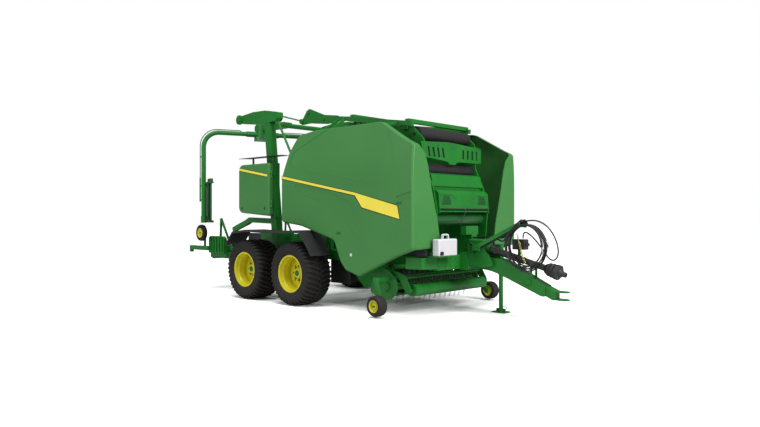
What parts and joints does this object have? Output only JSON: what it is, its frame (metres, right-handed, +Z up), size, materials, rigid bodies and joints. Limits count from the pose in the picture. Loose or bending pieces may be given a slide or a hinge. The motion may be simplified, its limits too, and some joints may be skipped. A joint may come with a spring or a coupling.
{
  "type": "round baler with film wrapper",
  "caption": "Towed round baler with a bale wrapper behind it: tandem wheels, hinged curved side panels, tined pickup, kinked drawbar with jack and a turning two-arm film satellite",
  "frame": {"origin": "on the ground under the middle of the machine's length and width", "axes": "+X runs forward to the hitch, +Y to the left, +Z up"},
  "size_m": [7.822, 2.96, 3.315],
  "materials": {
    "frame_green": "satin green paint",
    "panel_green": "satin moulded green",
    "tyre": "matt black rubber",
    "rim_yellow": "yellow gloss paint",
    "black_plastic": "matt black plastic",
    "roller_rubber": "matt black rubber",
    "hose_rubber": "black rubber hose",
    "white_plastic": "translucent white canister",
    "dispenser_metal": "green frame with pale rollers"
  },
  "bodies": {
    "chassis": {"main_frame": "frame_green", "mudguard_right": "black_plastic", "mudguard_left": "black_plastic", "film_rack_right": "frame_green", "film_rack_left": "frame_green", "chamber_walls": "frame_green", "top_frame": "frame_green", "intake_housing": "frame_green", "front_plates": "frame_green", "net_box": "frame_green", "crossbeam": "frame_green", "water_tank": "white_plastic", "gearbox": "frame_green", "drawbar": "frame_green", "clevis": "frame_green", "power_shaft": "black_plastic", "hose_rack": "frame_green", "control_box": "black_plastic", "tandem_beam_right": "frame_green", "tandem_beam_left": "frame_green", "pickup_hanger_right": "frame_green", "pickup_hanger_left": "frame_green", "gantry": "frame_green", "rear_frame": "frame_green", "hose_coil": "hose_rubber", "hose_lead_a": "hose_rubber", "hose_lead_b": "hose_rubber", "cable_loop": "hose_rubber"},
    "wheel_front_right": {"tyre_front_right": "tyre", "rim_front_right": "rim_yellow"},
    "wheel_front_left": {"tyre_front_left": "tyre", "rim_front_left": "rim_yellow"},
    "wheel_rear_right": {"tyre_rear_right": "tyre", "rim_rear_right": "rim_yellow"},
    "wheel_rear_left": {"tyre_rear_left": "tyre", "rim_rear_left": "rim_yellow"},
    "pickup": {"pickup_frame": "frame_green"},
    "reel": {"tine_reel": "frame_green", "reel_stubs": "frame_green"},
    "guard": {"windguard": "frame_green", "guard_arms": "frame_green"},
    "guard_roller": {"wind_roller": "frame_green"},
    "gauge_right": {"gauge_wheel_right": "tyre"},
    "gauge_left": {"gauge_wheel_left": "tyre"},
    "panel_right": {"side_panel_right": "panel_green"},
    "panel_left": {"side_panel_left": "panel_green"},
    "cover_right": {"film_cover_right": "panel_green"},
    "cover_left": {"film_cover_left": "panel_green"},
    "gate": {"tailgate": "frame_green"},
    "belt_roller": {"top_roller": "roller_rubber"},
    "feed_roller_middle": {"roller_middle": "roller_rubber"},
    "feed_roller_lower": {"roller_lower": "roller_rubber"},
    "satellite": {"satellite_arms": "frame_green", "dispenser_near": "dispenser_metal", "dispenser_far": "dispenser_metal"},
    "table": {"table_frame": "frame_green"},
    "table_roller_a": {"table_roller_front": "roller_rubber"},
    "table_roller_b": {"table_roller_rear": "roller_rubber"},
    "jack": {"jack_leg": "frame_green"},
    "tipper_wheel_body": {"tipper_wheel": "tyre"}
  },
  "joints": [
    {"name": "wheel_front_right_axle", "type": "hinge", "parent": "chassis", "child": "wheel_front_right", "pos_m": [-0.161, -1.23, 0.51], "axis": [0, 1, 0], "continuous": true},
    {"name": "wheel_front_left_axle", "type": "hinge", "parent": "chassis", "child": "wheel_front_left", "pos_m": [-0.161, 1.23, 0.51], "axis": [0, 1, 0], "continuous": true},
    {"name": "wheel_rear_right_axle", "type": "hinge", "parent": "chassis", "child": "wheel_rear_right", "pos_m": [-1.406, -1.23, 0.51], "axis": [0, 1, 0], "continuous": true},
    {"name": "wheel_rear_left_axle", "type": "hinge", "parent": "chassis", "child": "wheel_rear_left", "pos_m": [-1.406, 1.23, 0.51], "axis": [0, 1, 0], "continuous": true},
    {"name": "pickup_lift", "type": "hinge", "parent": "chassis", "child": "pickup", "pos_m": [1.319, 0, 0.65], "axis": [0, -1, 0], "range_deg": [0, 10]},
    {"name": "reel_axle", "type": "hinge", "parent": "pickup", "child": "reel", "pos_m": [1.529, 0, 0.395], "axis": [0, 1, 0], "continuous": true},
    {"name": "guard_lift", "type": "hinge", "parent": "pickup", "child": "guard", "pos_m": [1.529, 0, 0.634], "axis": [0, -1, 0], "range_deg": [0, 8]},
    {"name": "guard_roller_axle", "type": "hinge", "parent": "guard", "child": "guard_roller", "pos_m": [1.909, 0, 0.36], "axis": [0, 1, 0], "continuous": true},
    {"name": "gauge_right_axle", "type": "hinge", "parent": "pickup", "child": "gauge_right", "pos_m": [1.701, -1.383, 0.168], "axis": [0, 1, 0], "continuous": true},
    {"name": "gauge_left_axle", "type": "hinge", "parent": "pickup", "child": "gauge_left", "pos_m": [1.701, 1.383, 0.168], "axis": [0, 1, 0], "continuous": true},
    {"name": "panel_right_hinge", "type": "hinge", "parent": "chassis", "child": "panel_right", "pos_m": [0.829, -1.062, 2.768], "axis": [-1, 0, 0], "range_deg": [0, 55]},
    {"name": "panel_left_hinge", "type": "hinge", "parent": "chassis", "child": "panel_left", "pos_m": [0.829, 1.062, 2.768], "axis": [1, 0, 0], "range_deg": [0, 55]},
    {"name": "cover_right_hinge", "type": "hinge", "parent": "chassis", "child": "cover_right", "pos_m": [-0.924, -1.237, 1.89], "axis": [0, 0, 1], "range_deg": [0, 80]},
    {"name": "cover_left_hinge", "type": "hinge", "parent": "chassis", "child": "cover_left", "pos_m": [-0.924, 1.237, 1.89], "axis": [0, 0, -1], "range_deg": [0, 80]},
    {"name": "gate_pivot", "type": "hinge", "parent": "chassis", "child": "gate", "pos_m": [0.439, 0, 2.88], "axis": [0, 1, 0], "range_deg": [0, 48]},
    {"name": "belt_roller_axle", "type": "hinge", "parent": "chassis", "child": "belt_roller", "pos_m": [1.759, 0, 2.654], "axis": [0, 1, 0], "continuous": true},
    {"name": "feed_roller_middle_axle", "type": "hinge", "parent": "chassis", "child": "feed_roller_middle", "pos_m": [1.824, 0, 2.13], "axis": [0, 1, 0], "continuous": true},
    {"name": "feed_roller_lower_axle", "type": "hinge", "parent": "chassis", "child": "feed_roller_lower", "pos_m": [2.029, 0, 1.385], "axis": [0, 1, 0], "continuous": true},
    {"name": "satellite_axle", "type": "hinge", "parent": "chassis", "child": "satellite", "pos_m": [-2.851, 0, 3], "axis": [0, 0, 1], "continuous": true},
    {"name": "table_tilt", "type": "hinge", "parent": "chassis", "child": "table", "pos_m": [-3.291, 0, 0.69], "axis": [0, -1, 0], "range_deg": [0, 30]},
    {"name": "table_roller_a_axle", "type": "hinge", "parent": "table", "child": "table_roller_a", "pos_m": [-2.401, 0, 0.8], "axis": [0, 1, 0], "continuous": true},
    {"name": "table_roller_b_axle", "type": "hinge", "parent": "table", "child": "table_roller_b", "pos_m": [-3.301, 0, 0.8], "axis": [0, 1, 0], "continuous": true},
    {"name": "jack_slide", "type": "slide", "parent": "chassis", "child": "jack", "axis": [0, 0, 1], "range_m": [0, 0.25]},
    {"name": "tipper_wheel_axle", "type": "hinge", "parent": "chassis", "child": "tipper_wheel_body", "pos_m": [-3.361, -1.09, 1.092], "axis": [0, 1, 0], "continuous": true}
  ]
}
